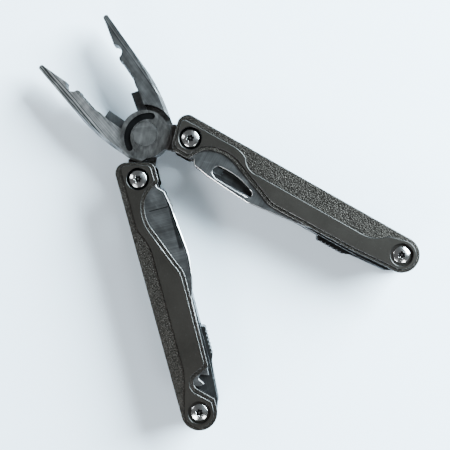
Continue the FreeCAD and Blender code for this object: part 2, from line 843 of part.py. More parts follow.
def large_driver(low, high):
    """Bit driver: a shank and a block with a flat socket."""
    end, side = tool_reach - BIT_STAND, tool_back - 0.45
    top = bit_side + 0.8
    corners = [
        (end - 16.2, tool_back),
        (end - 14.7, side),
        (end - 1.2, side),
        ((end - 0.2, side + 0.2), (end, side + 0.8)),
        (end, top - 1.0),
        ((end - 0.2, top - 0.2), (end - 1.2, top)),
        (end - 14.7, top),
        (end - 18.2, 0.8),
        (6.0, 0.8),
    ]
    piece = tool("large_bit_driver", corners, low, high)
    socket(piece, end, SOCKET_DEPTH["large_bit"], large_bit_side, "large_bit", low, high)
    return piece


def small_driver(low, high):
    """Bit driver for the small bit: one straight bar."""
    end, top = tool_reach - 2 * BIT_STAND, bit_side - 1.4
    corners = [
        (end - 1.2, tool_back),
        ((end - 0.2, tool_back + 0.2), (end, tool_back + 1.0)),
        (end, top - 1.0),
        ((end - 0.2, top - 0.2), (end - 1.2, top)),
        (end - 16.2, top + 0.4),
        (6.0, top + 1.6),
    ]
    piece = tool("small_bit_driver", corners, low, high)
    socket(piece, end, SOCKET_DEPTH["small_bit"], small_bit_side, "small_bit", low, high)
    return piece


def screwdriver(low, high):
    end = tool_reach - 3.0
    corners = [
        (12.0, tool_back),
        (end - 9.0, -4.2),
        (end, -4.2),
        (end, 0.6),
        (end - 9.0, 0.2),
        (12.0, 1.2),
        (6.0, 1.8),
    ]
    return tool("medium_screwdriver", corners, low, high)


def opener(low, high):
    """Can and bottle opener, with a wire-stripping notch."""
    end = tool_reach - 6.5
    corners = [
        (end - 2.5, tool_back - 0.2),
        (end, -2.6),
        (end - 0.5, 0.8),
        (end - 4.5, 2.2),
        (end - 5.9, 0.4),
        ((end - 9.1, -1.7), (end - 12.5, 0.4)),
        (end - 13.5, 2.2),
        (end - 16.0, 2.0),
        (14.0, 1.2),
        (13.2, 0.2),
        (12.4, 1.2),
        (6.0, 2.2),
    ]
    return tool("can_bottle_opener", corners, low, high)


scissor_tip = tool_reach + 1.5
SCISSOR_PIVOT = (19.0, tool_back + 2.35)


def scissor_fixed(low, high):
    """Scissor half that carries the tang; its blade lies next to the web."""
    corners = [
        (24.0, tool_back - 0.1),
        (scissor_tip - 1.5, tool_back + 0.55),
        (scissor_tip, tool_back + 2.35),
        (24.0, tool_back + 3.35),
        ((21.5, tool_back + 5.95), (18.0, tool_back + 6.35)),
        (6.0, tool_back + 6.55),
    ]
    piece = tool("scissors_fixed_blade", corners, low, high)
    tight = "sizes.scissor_rivet_radius + sizes.fixed_gap"
    piece.bore(*SCISSOR_PIVOT, tight, f"({low}) - 1", f"({high}) + 1")
    return piece


def scissor_moving(low, high):
    """Scissor half that turns on the rivet; its lever lies beside the tang."""
    piece = Piece("scissors_moving_blade")
    body = outline(
        (7.5, tool_back + 1.35),
        (15.5, tool_back + 0.55),
        ((19.0, tool_back - 0.05), (22.0, tool_back + 1.55)),
        (scissor_tip - 0.3, tool_back + 2.05),
        (scissor_tip - 1.5, tool_back + 4.05),
        (24.0, tool_back + 5.55),
        ((20.0, tool_back + 5.95), (16.0, tool_back + 4.35)),
        (7.5, tool_back + 2.75),
        ((6.9, tool_back + 2.05), (7.5, tool_back + 1.35)),
    )
    piece.pad([body], low, high)
    loose = "sizes.scissor_rivet_radius + sizes.running_gap"
    piece.bore(*SCISSOR_PIVOT, loose, f"({low}) - 1", f"({high}) + 1")
    return piece


def scissor_spring(low, high):
    """Leaf that pushes the lever away from the tang."""
    piece = Piece("scissors_spring")
    outer, inner = tool_back + 5.85, tool_back + 5.45
    leaf = outline(
        (8.2, tool_back + 3.45),
        (13.0, outer),
        (14.2, outer),
        (14.2, inner),
        (13.2, inner),
        (8.4, tool_back + 3.05),
    )
    piece.pad([leaf], low, high)
    return piece


# ---------------------------------------------------------------- assembly

GAP = "sizes.tool_gap"


def stack(*thicknesses):
    """Heights of the tools along an axle, from the lower wall up, each as (low, high)."""
    places = []
    low = f"-({ROOM}) + {GAP}"
    for thickness in thicknesses:
        high = f"{low} + {thickness}"
        places.append((low, high))
        low = f"{high} + {GAP}"
    places.append((low, f"{ROOM} - {GAP}"))
    return places


def spacer(name, low, high, placement):
    """Ring that fills the tool axle between two tools."""
    piece = Piece(name)
    piece.post(spacing, 0, "sizes.spacer_radius", low, high)
    piece.bore(spacing, 0, TIGHT_AXLE, f"({low}) - 1", f"({high}) + 1")
    return export(piece.body, placement)


jaw("jaw_back", BACK_JAW)
jaw("jaw_front", FRONT_JAW)
pin("plier_pivot", "sizes.rivet_radius", HEAD_LOW, HEAD_HIGH, frame_of(0, 0, turned(0)))

master_screw = screw_master()
for hand, frame in (("left", LEFT), ("right", RIGHT)):
    export(channel(f"{hand}_channel").body, frame)
    axle(f"{hand}_plier_axle", 0, frame)
    axle(f"{hand}_tool_axle", spacing, frame)
    screw_group(f"{hand}_screws", master_screw, frame)
    rocker(f"{hand}_lock_rocker", frame)
    rocker_spring(f"{hand}_rocker_spring", frame)
    half_pin = f"{CHANNEL} - sizes.running_gap"
    pin(f"{hand}_rocker_pin", "sizes.rocker_pin_radius", f"-({half_pin})", half_pin, frame, pin_u, pin_v)

# scales and outside blades: the left handle's frame has +z up, the right one's has +z down
export(scale("left_top_scale", 1, size("left_band_edge"), True).body, LEFT)
export(scale("left_bottom_scale", -1, size("left_band_edge"), True).body, LEFT)
export(scale("right_top_scale", -1, size("right_band_edge"), False).body, RIGHT)
export(scale("right_bottom_scale", 1, size("right_band_edge"), False).body, RIGHT)
export(serrated(1).body, LEFT)
export(file_tool(-1).body, LEFT)
export(knife(-1).body, RIGHT)
export(saw(1).body, RIGHT)

# inside tools of the right handle
large, small, rest = stack("sizes.large_driver_thickness", "sizes.small_driver_thickness")
right_tools = RIGHT * TOOL_TURN
export(large_driver(*large).body, right_tools)
large_start = tool_reach - BIT_STAND - SOCKET_DEPTH["large_bit"] + 0.2
export(flat_bit("large_bit", large_start, tool_reach, large_bit_side, *large).body, right_tools)
export(small_driver(*small).body, right_tools)
small_start = tool_reach - 2 * BIT_STAND - SOCKET_DEPTH["small_bit"] + 0.2
export(flat_bit("small_bit", small_start, tool_reach - BIT_STAND, small_bit_side, *small).body, right_tools)
spacer("right_tool_spacer", *rest, RIGHT)

# inside tools of the left handle
opening_tool, lower, upper, driver, rest = stack(
    "sizes.opener_thickness",
    "sizes.scissor_thickness",
    "sizes.scissor_thickness",
    "sizes.screwdriver_thickness",
)
left_tools = LEFT * TOOL_TURN
export(opener(*opening_tool).body, left_tools)
export(scissor_fixed(*lower).body, left_tools)
export(scissor_moving(*upper).body, left_tools)
export(scissor_spring(lower[1], upper[1]).body, left_tools)
pin("scissors_rivet", "sizes.scissor_rivet_radius", lower[0], upper[1], left_tools, *SCISSOR_PIVOT)
export(screwdriver(*driver).body, left_tools)
spacer("left_scissors_spacer", *upper, LEFT)
spacer("left_tool_spacer", *rest, LEFT)


# ---------------------------------------------------------------- check and write

doc.recompute()
for item in doc.Objects:
    bad = [state for state in item.State if state in ("Invalid", "Error")]
    if bad:
        raise RuntimeError(f"{item.Name}: {bad}")

os.makedirs("parts", exist_ok=True)
for feature in exported:
    shape = feature.Shape
    if shape.isNull() or not shape.isValid() or shape.Volume < 1e-3:
        raise RuntimeError(f"{feature.Label} has no valid shape")
    shape.exportStep(f"parts/{feature.Label}.step")
print(len(exported), "pieces")
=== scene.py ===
import bpy
import bmesh
import json
import math
import numpy as np
from mathutils import Matrix, Vector


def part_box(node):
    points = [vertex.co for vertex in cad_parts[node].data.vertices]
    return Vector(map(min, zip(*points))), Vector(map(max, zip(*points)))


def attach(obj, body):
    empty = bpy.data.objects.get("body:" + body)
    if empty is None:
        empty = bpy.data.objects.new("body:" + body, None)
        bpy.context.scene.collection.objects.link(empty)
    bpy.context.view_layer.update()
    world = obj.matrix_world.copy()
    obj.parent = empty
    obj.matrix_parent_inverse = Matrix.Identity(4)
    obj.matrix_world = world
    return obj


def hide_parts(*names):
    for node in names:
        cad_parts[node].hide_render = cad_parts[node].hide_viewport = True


# Folding multi tool: pliers open, two handles, outside blades under the scales.
# Lengths in the settings are millimetres, apart from the floor's and the lights', which are
# metres, as everything in the meshes is.
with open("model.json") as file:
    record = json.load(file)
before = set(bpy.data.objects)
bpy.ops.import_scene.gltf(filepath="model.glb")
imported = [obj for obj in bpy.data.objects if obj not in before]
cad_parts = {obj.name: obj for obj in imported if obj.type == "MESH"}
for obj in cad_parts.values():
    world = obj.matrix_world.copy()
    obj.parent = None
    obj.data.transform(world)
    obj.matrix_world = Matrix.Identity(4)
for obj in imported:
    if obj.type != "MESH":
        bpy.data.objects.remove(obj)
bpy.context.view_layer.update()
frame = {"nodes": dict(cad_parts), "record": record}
mm = 0.001
nodes = frame["nodes"]
behaviour = frame["record"]["behaviour"]
bodyOf = {node: body for body, members in behaviour["bodies"].items() for node in members}
jointPlace = {joint["name"]: Vector(joint["pos_m"]) for joint in behaviour["joints"]}
plierPivot = jointPlace["jaw_squeeze"]
midHeight = plierPivot.z
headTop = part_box("jaw_front")[1].z - midHeight


class HandleFrame:
    # u runs from the plier axle to the tool axle, v points at the other handle, z is up from mid height
    def __init__(self, plierAxle, toolAxle, side):
        self.start = plierAxle
        self.side = side
        along = (toolAxle - plierAxle).normalized()
        self.spacing = (toolAxle - plierAxle).length
        across = Vector((-along.y, along.x, 0)) * side
        self.matrix = Matrix((
            (along.x, across.x, 0, plierAxle.x),
            (along.y, across.y, 0, plierAxle.y),
            (0, 0, 1, plierAxle.z),
            (0, 0, 0, 1),
        ))
        self.turn = math.atan2(along.y, along.x)

    def inside(self, point):
        return self.matrix.inverted() @ point

    def outside(self, points):
        matrix = np.array(self.matrix)
        return points @ matrix[:3, :3].T + matrix[:3, 3]


handles = {
    "left": HandleFrame(jointPlace["left_handle_fold"], jointPlace["can_bottle_opener_open"], 1),
    "right": HandleFrame(jointPlace["right_handle_fold"], jointPlace["large_bit_driver_open"], -1),
}
print("frame read:", len(nodes), "nodes")


class Wire:
    # a socket; arithmetic on it adds the Math nodes
    def __init__(self, tree, socket=None):
        self.tree = tree
        self.socket = socket

    def node(self, kind, settings=None, inputs=None, output=0):
        made = self.tree.nodes.new(kind)
        for name, value in (settings or {}).items():
            if name == "stops":
                ramp = made.color_ramp
                while len(ramp.elements) < len(value):
                    ramp.elements.new(0.5)
                for element, (position, colour) in zip(ramp.elements, value):
                    element.position = position
                    element.color = colour
            else:
                setattr(made, name, value)
        for name, value in (inputs or {}).items():
            target = made.inputs[name]
            if isinstance(value, Wire):
                self.tree.links.new(value.socket, target)
            else:
                target.default_value = value
        return Wire(self.tree, made.outputs[output] if made.outputs else None)

    def maths(self, operation, *values, clamp=False):
        settings = {"operation": operation, "use_clamp": clamp}
        return self.node("ShaderNodeMath", settings, dict(enumerate(values)))

    def __add__(self, other):
        return self.maths("ADD", self, other)

    def __radd__(self, other):
        return self.maths("ADD", other, self)

    def __sub__(self, other):
        return self.maths("SUBTRACT", self, other)

    def __rsub__(self, other):
        return self.maths("SUBTRACT", other, self)

    def __mul__(self, other):
        return self.maths("MULTIPLY", self, other)

    def __rmul__(self, other):
        return self.maths("MULTIPLY", other, self)

    def __abs__(self):
        return self.maths("ABSOLUTE", self)

    def clamped(self):
        return self.maths("ADD", self, 0.0, clamp=True)

    def larger(self, other):
        return self.maths("MAXIMUM", self, other)

    def reach(self, other):
        # distance from (0, 0) to (self, other)
        return self.maths("SQRT", self * self + other * other)

    def between(self, low, high):
        # 0 below low, 1 above high
        span = {"Value": self, "From Min": low, "From Max": high}
        return self.node("ShaderNodeMapRange", {"clamp": True}, span)

    def inside(self, low, high, soft=0.3):
        # 1 from low to high, 0 outside
        return self.between(low - soft, low) * (1 - self.between(high, high + soft))

    def mixed(self, first, second):
        # colours mixed by this factor
        return self.node("ShaderNodeMix", {"data_type": "RGBA"}, {0: self, 6: first, 7: second}, 2)

    def split(self):
        parts = self.node("ShaderNodeSeparateXYZ", None, {"Vector": self})
        return [Wire(self.tree, socket) for socket in parts.socket.node.outputs]


def newMaterial(name):
    material = bpy.data.materials.new(name)
    material.use_nodes = True
    tree = material.node_tree
    tree.nodes.clear()
    return material, Wire(tree)


def objectPlace(wire, turn=0.0, stretch=(1, 1, 1), shift=(0, 0, 0), centre=(0, 0, 0)):
    # object coordinates in millimetres, turned about a centre so that x runs along a piece
    place = wire.node("ShaderNodeTexCoord", output=3)
    turned = wire.node("ShaderNodeVectorRotate", {"rotation_type": "Z_AXIS"}, {
        "Vector": place, "Center": centre, "Angle": -turn,
    })
    scale = tuple(1000 * s for s in stretch)
    offset = tuple(move - size * middle for move, size, middle in zip(shift, scale, centre))
    return wire.node("ShaderNodeMapping", {"vector_type": "POINT"}, {
        "Vector": turned, "Scale": scale, "Location": offset,
    })


def handlePlace(wire, handle):
    # u and v of a handle, in millimetres
    u, v = objectPlace(wire, handle.turn, centre=tuple(handle.start)).split()[:2]
    return u, v * handle.side


def facingOther(wire, handle):
    # how squarely a surface faces the other handle, from -1 to 1
    x, y = wire.node("ShaderNodeTexCoord", output=1).split()[:2]
    return (y * math.cos(handle.turn) - x * math.sin(handle.turn)) * handle.side


def noise(wire, place, scale, detail=3.0, roughness=0.55):
    return wire.node("ShaderNodeTexNoise", None, {
        "Vector": place, "Scale": scale, "Detail": detail, "Roughness": roughness,
    })


def bump(wire, height, strength, distance):
    return wire.node("ShaderNodeBump", None, {"Height": height, "Strength": strength, "Distance": distance})


def metal(wire, colour, roughness, normal):
    shader = wire.node("ShaderNodeBsdfPrincipled", None, {
        "Base Color": colour, "Metallic": 1.0, "Roughness": roughness, "Normal": normal,
    })
    wire.node("ShaderNodeOutputMaterial", None, {"Surface": shader})


def grey(value, warm=0.0):
    # a grey with a little more red and less blue where warm is above 0
    return (value * (1 + warm), value, value * (1 - warm), 1.0)


def brushed(wire, value, rough, turn, lines, blotch, warm=0.0, fine=6.0):
    # colour, roughness and height of steel brushed along one direction, with cloudy patches and scratches
    strands = noise(wire, objectPlace(wire, turn, (0.05, fine, 1.0)), 1.0, 2.0)
    cloud = noise(wire, objectPlace(wire, turn), 0.22, 3.0)
    scratchPlace = objectPlace(wire, turn + 1.9, (0.12, 5.0, 1.0), (3, 7, 1))
    scratches = noise(wire, scratchPlace, 1.0, 1.0).between(0.66, 0.74)
    shade = (strands - 0.5) * (1.6 * lines) + (cloud - 0.5) * (2.4 * blotch) + scratches * 0.25 + 0.45
    colour = shade.clamped().mixed(grey(value * 0.45, warm), grey(value * 1.7, warm))
    roughness = (rough + (strands - 0.5) * (0.22 * lines) + (cloud - 0.5) * 0.12 + scratches * 0.08).clamped()
    height = strands * (0.7 * lines) - scratches * 0.25
    return colour, roughness, height


def brushedSteel(name, value, rough, turn=0.0, lines=0.5, blotch=0.3, warm=0.0, fine=6.0):
    material, wire = newMaterial(name)
    colour, roughness, height = brushed(wire, value, rough, turn, lines, blotch, warm, fine)
    metal(wire, colour, roughness, bump(wire, height, 0.25, 0.00006))
    return material


def polished(name, value, rough):
    material, wire = newMaterial(name)
    cloud = noise(wire, objectPlace(wire), 0.8, 3.0)
    colour = cloud.mixed(grey(value * 0.8), grey(value * 1.2))
    metal(wire, colour, rough + (cloud - 0.5) * 0.08, bump(wire, cloud, 0.06, 0.00005))
    return material


# The covers of the handles: a smooth band, a cast recess beside it, plain sides and worn rims, with painted
# shade in the screw wells and in the groove behind the rim.
scaleLook = {
    "edgeWidth": 0.22, "bandRise": 0.4, "bandEdge": {"left": -1.8, "right": 0.0},
    "groove": (1.6, 3.0), "knuckle": (-2.0, 3.0), "wellRadius": 4.3, "boreRing": 4.8,
    # the wells' near-black grey is painted shade deep in the screw wells
    "bandGrey": 0.05, "recessGrey": 0.03, "sideGrey": 0.022, "wellShadeGrey": 0.004, "warm": 0.12,
    "rimBright": 0.12, "rimDull": 0.03,
}


def scaleBand(name, value, rough):
    # blasted titanium: fine grain, faint cloud, tiny light specks
    material, wire = newMaterial(name)
    fine = noise(wire, objectPlace(wire), 6.0, 2.0)
    cloud = noise(wire, objectPlace(wire), 0.06, 4.0)
    specks = noise(wire, objectPlace(wire, shift=(5, 2, 9)), 2.2, 1.0).between(0.7, 0.78)
    shade = ((fine - 0.5) * 0.5 + (cloud - 0.5) * 1.2 + 0.5).clamped()
    warm = scaleLook["warm"]
    colour = shade.mixed(grey(value * 0.7, warm), grey(value * 1.4, warm))
    colour = (specks * 0.3).mixed(colour, grey(value * 3))
    metal(wire, colour, rough + (fine - 0.5) * 0.12, bump(wire, fine, 0.25, 0.00005))
    return material


def towardsRim(wire, hand):
    # 1 along the cut-out and round the knuckle, 0 in the outer half of a cover
    u, v = handlePlace(wire, handles[hand])
    edge = scaleLook["bandEdge"][hand]
    low, high = scaleLook["groove"]
    return u, v, v.between(edge + low, edge + high).larger(1 - u.between(*scaleLook["knuckle"]))


def outsideBores(wire, hand, u, v, radius):
    # 0 within a radius of either axle of a handle, 1 further out
    far = u - handles[hand].spacing * 1000
    return u.reach(v).between(radius - 0.1, radius + 0.2) * far.reach(v).between(radius - 0.1, radius + 0.2)


def scaleRecess(name, hand, value, rough):
    # cast recess: rounded grains with dark gaps between them, and painted shade in the groove behind the rim
    material, wire = newMaterial(name)
    place = objectPlace(wire)
    warm = scaleLook["warm"]
    groove = towardsRim(wire, hand)[2]
    wobble = noise(wire, place, 2.2, 3.0)
    grains = wire.node("ShaderNodeTexVoronoi", {"feature": "F1"}, {"Vector": place, "Scale": 2.1})
    lift = 1.0 - grains + (wobble - 0.5) * 0.8
    cloud = noise(wire, place, 0.12, 3.0)
    shade = lift.between(0.2, 0.95) + (cloud - 0.5) * 0.5 + (wobble - 0.5) * 0.5
    # painted shade: darker in the groove between the rim and the raised band
    shade = shade.clamped() * (1 - groove * 0.8)
    colour = shade.mixed(grey(value * 0.6, warm), grey(value * 1.5, warm))
    metal(wire, colour, rough + (wobble - 0.5) * 0.15, bump(wire, lift, 0.6, 0.00018))
    return material


def scaleRim(name, hand):
    # worn bright and dotted towards the other handle and round the knuckle, dull elsewhere
    material, wire = newMaterial(name)
    look = scaleLook
    u, v, worn = towardsRim(wire, hand)
    bores = outsideBores(wire, hand, u, v, look["boreRing"])
    dots = noise(wire, objectPlace(wire), 1.7, 2.0).between(0.36, 0.62)
    colour = (worn * bores * dots).mixed(grey(look["rimDull"], 0.03), grey(look["rimBright"], 0.02))
    metal(wire, colour, 0.4 - dots * 0.1, bump(wire, dots, 0.2, 0.00005))
    return material


# The plier head: the disc and the noses are one casting, so their finish changes with the place.
headLook = {
    "side": {"jaw_front": -1, "jaw_back": 1},
    "discRadius": 9.5, "discGrey": 0.125, "slotGrey": 0.005, "tangGrey": 0.045, "tabGrey": 0.07,
    "slotDepth": 0.5, "slotReach": 8, "slotWallReach": 9.2, "tabHeight": 2.6, "tabFrom": 6.5, "teethFrom": 8,
    "outerEdge": 14.2, "edgeLean": 0.044, "edgeReach": 2.9,
    "noseFrom": (6.0, 11.0), "tangBelow": (-4.0, -2.0),
    "noseGrey": {"jaw_front": 0.34, "jaw_back": 0.13},
    "noseLines": {"jaw_front": 1.0, "jaw_back": 0.4},
    "facetShade": {"jaw_front": 0.6, "jaw_back": 0.18},
    "edgeBright": {"jaw_front": 0.5, "jaw_back": 0.12},
    "darkLines": {"jaw_front": ((0.7, 0.95), (1.5, 1.9), (2.6, 2.75)), "jaw_back": ((1.75, 1.9),)},
    "brightLine": {"jaw_front": (2.05, 2.4), "jaw_back": (1.45, 1.7)},
    "brightGrey": {"jaw_front": 0.5, "jaw_back": 0.22},
}


def pivotPlace(wire):
    # x and y from the plier pivot, in millimetres
    return objectPlace(wire, centre=tuple(plierPivot)).split()[:2]


def inFromEdge(x, y, side):
    # distance in from a nose's outer edge, a line that leans away from the middle
    return y * headLook["edgeLean"] + headLook["outerEdge"] - x * side


def jawSteel(name, node, facetShade=1.0):
    # satin disc with scuffs and swirls near the pivot, brushed nose beyond it, and a tang behind it that is
    # dark from its as-cast finish and from painted shade under the handles
    material, wire = newMaterial(name)
    look = headLook
    side = look["side"][node]
    x, y = pivotPlace(wire)
    reach = x.reach(y)
    # a factor below 1 makes the darker copy for the tilted facets: painted shade
    nose = look["noseGrey"][node] * facetShade
    lines = look["noseLines"][node]
    inward = inFromEdge(x, y, side)
    waver = (noise(wire, objectPlace(wire, 0.0, (0.3, 0.06, 1)), 1.0, 2.0) - 0.5) * 0.8
    marked = 0.0
    for low, high in look["darkLines"][node]:
        marked = (inward + waver).inside(low, high, 0.15).larger(marked)
    glint = (inward + waver * 0.3).inside(*look["brightLine"][node], 0.12)
    noseColour, noseRough, noseHeight = brushed(
        wire, nose, 0.36, math.radians(90 - 2.5 * side), lines, 0.35 + 0.2 * lines, fine=3.2
    )
    swirl = noise(wire, objectPlace(wire, 0.6, (1, 2.2, 1)), 0.34, 5.0, 0.62)
    scuff = noise(wire, objectPlace(wire, 0.9, (0.3, 2.6, 1)), 0.8, 3.0).between(0.55, 0.75)
    discShade = ((swirl - 0.5) * 1.6 + scuff * 0.25 + 0.4).clamped()
    discColour = discShade.mixed(grey(look["discGrey"] * 0.5, 0.03), grey(look["discGrey"] * 1.8, 0.03))
    # the lines lie on the flats and stop at the jaw's sides
    upward = abs(wire.node("ShaderNodeTexCoord", output=1).split()[2]).between(0.5, 0.85)
    alongNose = y.between(*look["noseFrom"]) * upward
    noseColour = (marked * alongNose * 0.85).mixed(noseColour, grey(nose * 0.12))
    noseColour = (glint * alongNose * 0.8).mixed(noseColour, grey(look["brightGrey"][node]))
    onNose = reach.between(look["discRadius"] - 0.6, look["discRadius"] + 2.0)
    colour = onNose.mixed(discColour, noseColour)
    # the tang lies lower, beside the handles' walls: its dark grey is partly its as-cast finish, partly
    # painted shade
    beyondDisc = reach.between(look["discRadius"] + 0.1, look["discRadius"] + 0.5)
    behind = beyondDisc * (1 - y.between(*look["tangBelow"]))
    stain = noise(wire, objectPlace(wire), 0.5, 4.0)
    tangFinishAndShade = stain.mixed(grey(look["tangGrey"] * 0.4, 0.1), grey(look["tangGrey"] * 1.8, 0.1))
    colour = behind.mixed(colour, tangFinishAndShade)
    roughness = noseRough + (scuff - 0.5) * 0.06
    metal(wire, colour, roughness, bump(wire, noseHeight + swirl * 0.5, 0.25, 0.00007))
    return material


def jawEdgeSteel(name, node):
    # bright where hands wear it, along the outer edge, and dull along the teeth
    material, wire = newMaterial(name)
    look = headLook
    x, y = pivotPlace(wire)
    fromEdge = inFromEdge(x, y, look["side"][node])
    worn = (1 - fromEdge.between(look["edgeReach"] - 1.0, look["edgeReach"])) * y.between(2.0, 8.0)
    broken = noise(wire, objectPlace(wire, math.radians(90), (0.2, 1.2, 1.2)), 0.8, 3.0).between(0.35, 0.6)
    tone = look["noseGrey"][node]
    colour = (worn * broken).mixed(grey(tone * 0.5), grey(look["edgeBright"][node]))
    metal(wire, colour, 0.34 + broken * 0.06, bump(wire, broken, 0.1, 0.00005))
    return material


# The outside blades, with what is marked on their flats.
bladeLook = {
    "left": {
        "grey": 0.115, "edgeWidth": 0.2, "bright": (16, 38), "from": 8.6,
        "line": 12.5, "lineRun": (1.0, 8.2), "band": (8.2, 9.5), "bandRun": (10, 28),
    },
    "right": {"grey": 0.12, "edgeWidth": 0.45, "bright": (5.2, 29.5), "from": 6.0, "line": None},
}


def bladeSteel(name, hand):
    # brushed across the blade; the left one has a stop line and painted shade in the hollow of its top bevel
    material, wire = newMaterial(name)
    look = bladeLook[hand]
    handle = handles[hand]
    colour, roughness, height = brushed(wire, look["grey"], 0.34, handle.turn + math.pi / 2, 0.5, 0.3)
    u, v = handlePlace(wire, handle)
    if look["line"] is not None:
        line = (1 - abs(u - look["line"]).between(0.1, 0.28)) * v.inside(*look["lineRun"])
        # painted shade: a dark band where the top bevel's hollow lies
        hollowShade = v.inside(*look["band"]) * u.inside(*look["bandRun"], 1.5)
        colour = (line * 0.85).larger(hollowShade * 0.8).mixed(colour, grey(look["grey"] * 0.12))
        height = height - line * 2.0
    # painted shade: near black where a screw well opens onto the blade
    well = scaleLook["wellRadius"]
    boreShade = 1 - u.reach(v).between(well, well + 0.3)
    colour = boreShade.mixed(colour, grey(scaleLook["wellShadeGrey"]))
    metal(wire, colour, roughness, bump(wire, height, 0.25, 0.00006))
    return material


def channelSteel(name, hand):
    # folded sheet, brushed along the handle, near black as painted shade where the screws' wells reach it
    material, wire = newMaterial(name)
    colour, roughness, height = brushed(wire, 0.035, 0.4, handles[hand].turn, 0.4, 0.4)
    u, v = handlePlace(wire, handles[hand])
    solid = outsideBores(wire, hand, u, v, scaleLook["wellRadius"])
    colour = solid.mixed(grey(scaleLook["wellShadeGrey"]), colour)
    metal(wire, colour, roughness, bump(wire, height, 0.25, 0.00006))
    return material


def bladeEdgeSteel(name, hand):
    # polished along the exposed part of the spine, made near white on the faces turned to the other handle as
    # a painted highlight line; dull elsewhere
    material, wire = newMaterial(name)
    look = bladeLook[hand]
    u, v = handlePlace(wire, handles[hand])
    bright = u.inside(*look["bright"], 1.0) * v.between(look["from"] - 0.2, look["from"] + 0.2)
    # only faces turned to the other handle keep the near-white painted highlight
    bright = bright * facingOther(wire, handles[hand]).between(0.05, 0.25)
    cloud = noise(wire, objectPlace(wire), 0.8, 3.0)
    colour = (bright * (0.75 + cloud * 0.5).clamped()).mixed(grey(look["grey"] * 1.3), grey(0.95))
    metal(wire, colour, 0.32 - bright * 0.1, bump(wire, cloud, 0.06, 0.00005))
    return material


steel = {
    "rivet": brushedSteel("rivetSteel", 0.12, 0.38, 0.7, 0.3, 0.5, 0.03, 2.0),
    "slot": brushedSteel("arcSlotSteel", headLook["slotGrey"], 0.5, 0.3, 0.3, 0.5),
    # the cutter tabs lie lower than the noses: their darker grey is partly unground finish, partly painted
    # shade
    "tab": brushedSteel("cutterTabSteel", headLook["tabGrey"], 0.42, 0.9, 0.3, 0.5, -0.02),
    # the teeth faces look into the gap between the jaws: painted shade, near black
    "teeth": brushedSteel("toothShadeSteel", 0.02, 0.45, 0.3, 0.4, 0.5),
    "edge": polished("wornEdgeSteel", 0.10, 0.35),
    "screw": polished("screwSteel", 0.62, 0.15),
    # the screws' star recess: painted shade, near black
    "recess": polished("starRecessShadeSteel", 0.008, 0.4),
    "rocker": brushedSteel("rockerSteel", 0.03, 0.4, 0.0, 0.4, 0.4),
    "bit": brushedSteel("bitSteel", 0.02, 0.45, 0.0, 0.4),
    "axle": polished("axleSteel", 0.12, 0.3),
    "spring": brushedSteel("springSteel", 0.1, 0.35, 0.0, 0.4),
}
for node in ("jaw_front", "jaw_back"):
    steel[node] = jawSteel(node + "Steel", node)
    # the tilted outer facets take a darker copy of the jaw steel: painted shade
    steel[node + "Facet"] = jawSteel(node + "FacetSteel", node, headLook["facetShade"][node])
    steel[node + "Edge"] = jawEdgeSteel(node + "EdgeSteel", node)
for hand, handle in handles.items():
    steel[hand + "Blade"] = bladeSteel(hand + "BladeSteel", hand)
    steel[hand + "BladeEdge"] = bladeEdgeSteel(hand + "BladeEdgeSteel", hand)
    steel[hand + "Tool"] = brushedSteel(hand + "ToolSteel", 0.09, 0.34, handle.turn + math.pi / 2, 0.5)
    steel[hand + "Channel"] = channelSteel(hand + "ChannelSteel", hand)
    steel[hand + "Rim"] = scaleRim(hand + "ScaleRim", hand)
    steel[hand + "Recess"] = scaleRecess(hand + "ScaleRecess", hand, scaleLook["recessGrey"], 0.42)
coat = {
    "band": scaleBand("scaleBand", scaleLook["bandGrey"], 0.36),
    # the walls of the screw wells, near black: painted shade
    "well": scaleBand("screwWellShade", scaleLook["wellShadeGrey"], 0.5),
    "side": scaleBand("scaleSide", scaleLook["sideGrey"], 0.42),
}
print("materials made:", len(steel) + len(coat))


def addObject(name, data):
    made = bpy.data.objects.new(name, data)
    bpy.context.scene.collection.objects.link(made)
    return made


def bevelledCopy(node, name, materials, width, choose=None, edgeMaterial=None):
    # A copy of the node whose outer corners are rounded by width millimetres. choose gives each
    # face's material from its centre and normal.
    sharpBend = math.radians(32)
    mesh = nodes[node].data.copy()
    mesh.name = name
    mesh.materials.clear()
    for material in materials + ([edgeMaterial] if edgeMaterial else []):
        mesh.materials.append(material)
    surface = bmesh.new()
    surface.from_mesh(mesh)
    bmesh.ops.remove_doubles(surface, verts=surface.verts, dist=2e-6)
    bmesh.ops.dissolve_limit(
        surface, angle_limit=math.radians(1.0), verts=surface.verts, edges=surface.edges, delimit={"NORMAL"}
    )
    weights = surface.edges.layers.float.new("bevel_weight_edge")
    for edge in surface.edges:
        edge.smooth = True
        if len(edge.link_faces) == 2:
            bend = edge.calc_face_angle(0.0)
            edge.smooth = bend < sharpBend
            if bend > sharpBend and edge.is_convex:
                edge[weights] = 1.0
    for face in surface.faces:
        face.smooth = True
        face.material_index = choose(face.calc_center_median(), face.normal) if choose else 0
    surface.to_mesh(mesh)
    surface.free()
    piece = addObject(name, mesh)
    bevel = piece.modifiers.new("rounded", "BEVEL")
    bevel.limit_method = "WEIGHT"
    bevel.width = width * mm
    bevel.segments = 2
    bevel.use_clamp_overlap = True
    bevel.miter_outer = "MITER_ARC"
    if edgeMaterial:
        bevel.material = len(materials)
    weighted = piece.modifiers.new("shading", "WEIGHTED_NORMAL")
    weighted.keep_sharp = True
    settle(piece, node)
    return piece


def settle(piece, *stands):
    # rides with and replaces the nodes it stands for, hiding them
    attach(piece, bodyOf[stands[0]])
    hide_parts(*stands)
    return piece


